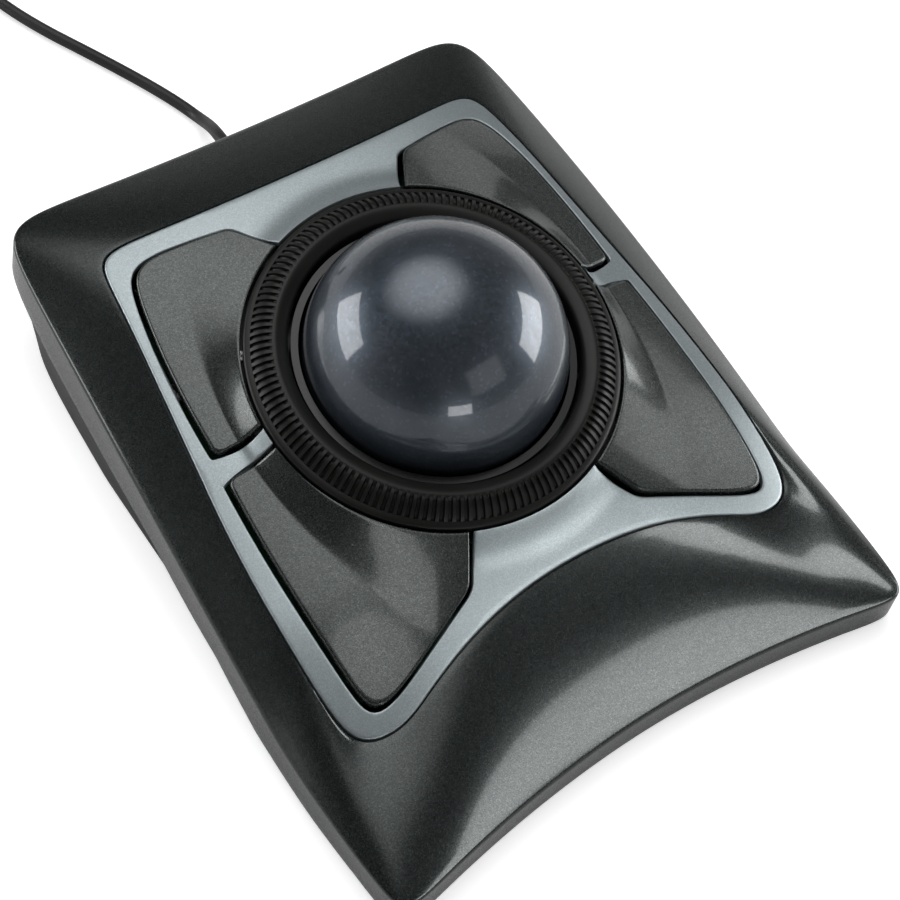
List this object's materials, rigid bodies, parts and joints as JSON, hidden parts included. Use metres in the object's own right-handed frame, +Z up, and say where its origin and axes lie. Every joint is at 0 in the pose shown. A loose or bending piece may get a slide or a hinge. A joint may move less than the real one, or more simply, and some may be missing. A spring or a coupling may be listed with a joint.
{
  "type": "trackball mouse",
  "caption": "Desktop trackball with a large ball in a ribbed scroll ring, sculpted corner buttons in a silver frame and a trailing cable.",
  "frame": {"origin": "on the desk plane under the middle of the casing's footprint", "axes": "+X to the user's right, +Y away from the user towards the cable, +Z up from the desk"},
  "size_m": [0.133, 0.3149, 0.0642],
  "materials": {
    "shell_flake": "charcoal with fine metallic flake, satin gloss",
    "silver_frame": "silver-blue metallic paint, satin",
    "button_flake": "dark grey metallic flake, satin gloss",
    "ring_rubber": "black soft-touch ribbed",
    "black_plastic": "matte black",
    "base_plastic": "matte charcoal, fine texture",
    "ball_gloss": "polished dark blue-grey pearl",
    "socket_plastic": "glossy black",
    "ceramic": "polished white ceramic",
    "screw_steel": "zinc plated",
    "plug_steel": "nickel plated",
    "clear_plastic": "clear moulded plastic",
    "chip_black": "matte black epoxy",
    "board_green": "green solder mask",
    "led_red": "clear red",
    "ivory_plastic": "ivory nylon",
    "plunger_red": "red nylon",
    "foot_rubber": "matte black",
    "cable_rubber": "matte black"
  },
  "bodies": {
    "base": {"top_shell": "shell_flake", "bezel": "silver_frame", "ring_retainer": "black_plastic", "retainer_screws": "screw_steel", "ring_carrier": "black_plastic", "carrier_screws": "screw_steel", "ball_socket": "socket_plastic", "socket_bearings": "ceramic", "socket_screws": "screw_steel", "sensor_lens": "clear_plastic", "sensor_chip": "chip_black", "sensor_board": "board_green", "sensor_led": "led_red", "encoder_emitter": "chip_black", "encoder_detector": "chip_black", "main_board": "board_green", "board_screws": "screw_steel", "controller_chip": "chip_black", "cable_header": "ivory_plastic", "header_plug": "ivory_plastic", "switch_back_left": "chip_black", "switch_back_right": "chip_black", "switch_front_left": "chip_black", "switch_front_right": "chip_black", "bottom_shell": "base_plastic", "case_screws": "screw_steel", "foot_back_left": "foot_rubber", "foot_back_right": "foot_rubber", "foot_front_left": "foot_rubber", "foot_front_right": "foot_rubber", "strain_relief": "cable_rubber", "cable": "cable_rubber", "usb_overmould": "cable_rubber", "usb_shell": "plug_steel", "usb_tongue": "ivory_plastic"},
    "back_left_button": {"button_back_left": "button_flake"},
    "back_right_button": {"button_back_right": "button_flake"},
    "front_left_button": {"button_front_left": "button_flake"},
    "front_right_button": {"button_front_right": "button_flake"},
    "scroll_wheel": {"scroll_ring": "ring_rubber", "encoder_ring": "black_plastic"},
    "ball_shell": {"ball": "ball_gloss"},
    "ball_core_body": {"ball_core": "ball_gloss"},
    "back_left_plunger": {"plunger_back_left": "plunger_red"},
    "back_right_plunger": {"plunger_back_right": "plunger_red"},
    "front_left_plunger": {"plunger_front_left": "plunger_red"},
    "front_right_plunger": {"plunger_front_right": "plunger_red"}
  },
  "joints": [
    {"name": "back_left_press", "type": "hinge", "parent": "base", "child": "back_left_button", "pos_m": [-0.03041, 0.04001, 0.03379], "axis": [-0.7071, -0.7002, -0.0984], "range_deg": [0, 2.5], "stiffness_Nm_per_rad": 0.35, "springref_deg": -2.86},
    {"name": "back_left_click", "type": "slide", "parent": "base", "child": "back_left_plunger", "axis": [0, 0.1392, -0.9903], "range_m": [0, 0.0007]},
    {"name": "back_right_press", "type": "hinge", "parent": "base", "child": "back_right_button", "pos_m": [0.03041, 0.04001, 0.03379], "axis": [-0.7071, 0.7002, 0.0984], "range_deg": [0, 2.5], "stiffness_Nm_per_rad": 0.35, "springref_deg": -2.86},
    {"name": "back_right_click", "type": "slide", "parent": "base", "child": "back_right_plunger", "axis": [0, 0.1392, -0.9903], "range_m": [0, 0.0007]},
    {"name": "front_left_press", "type": "hinge", "parent": "base", "child": "front_left_button", "pos_m": [-0.03041, -0.02021, 0.02533], "axis": [0.7071, -0.7002, -0.0984], "range_deg": [0, 2], "stiffness_Nm_per_rad": 0.35, "springref_deg": -2.86},
    {"name": "front_left_click", "type": "slide", "parent": "base", "child": "front_left_plunger", "axis": [0, 0.1392, -0.9903], "range_m": [0, 0.0007]},
    {"name": "front_right_press", "type": "hinge", "parent": "base", "child": "front_right_button", "pos_m": [0.03041, -0.02021, 0.02533], "axis": [0.7071, 0.7002, 0.0984], "range_deg": [0, 2], "stiffness_Nm_per_rad": 0.35, "springref_deg": -2.86},
    {"name": "front_right_click", "type": "slide", "parent": "base", "child": "front_right_plunger", "axis": [0, 0.1392, -0.9903], "range_m": [0, 0.0007]},
    {"name": "scroll_spin", "type": "hinge", "parent": "base", "child": "scroll_wheel", "pos_m": [0, 0.009, 0.036], "axis": [0, -0.1392, 0.9903], "continuous": true},
    {"name": "ball_roll_x", "type": "hinge", "parent": "base", "child": "ball_core_body", "pos_m": [0, 0.0089, 0.03669], "axis": [1, 0, 0], "continuous": true},
    {"name": "ball_roll_y", "type": "hinge", "parent": "ball_core_body", "child": "ball_shell", "pos_m": [0, 0.0089, 0.03669], "axis": [0, 0.9903, 0.1392], "continuous": true}
  ],
  "couplings": [
    {"joint": "back_left_click", "follows": "back_left_press", "m_per_rad": 0.0145},
    {"joint": "back_right_click", "follows": "back_right_press", "m_per_rad": 0.0145},
    {"joint": "front_left_click", "follows": "front_left_press", "m_per_rad": 0.0196},
    {"joint": "front_right_click", "follows": "front_right_press", "m_per_rad": 0.0196}
  ]
}
